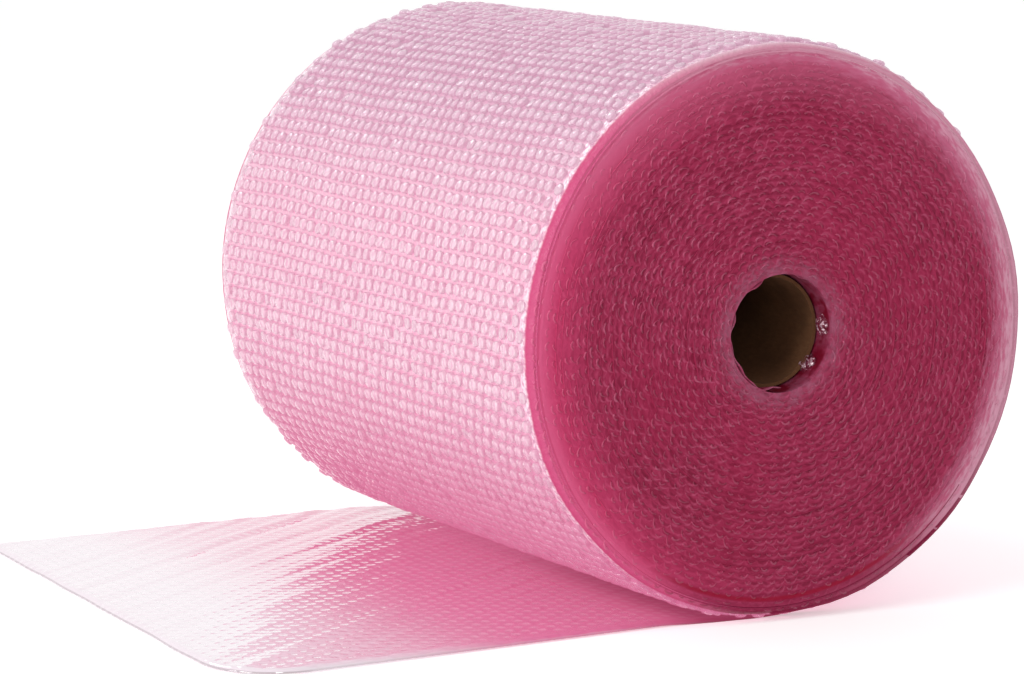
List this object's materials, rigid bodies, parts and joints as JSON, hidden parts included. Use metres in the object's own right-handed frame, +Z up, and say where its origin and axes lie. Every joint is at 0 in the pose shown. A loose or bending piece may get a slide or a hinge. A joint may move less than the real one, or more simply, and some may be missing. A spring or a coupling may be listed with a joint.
{
  "type": "bubble wrap roll",
  "caption": "Wide roll of pink bubble wrap wound on a hollow card tube, lying on its side with its free end run out flat.",
  "frame": {"origin": "centre of the card tube's bore, half way along the tube", "axes": "+Y runs along the tube towards the roll's far end, +Z is up, and the free end of the web runs out towards -X"},
  "size_m": [0.6377, 0.5305, 0.4119],
  "materials": {
    "bubble_film": "clear pink polythene film with air bubbles",
    "card": "plain brown spiral-wound card"
  },
  "bodies": {
    "root": {"bubble_web": "bubble_film", "core_tube": "card"}
  },
  "joints": []
}
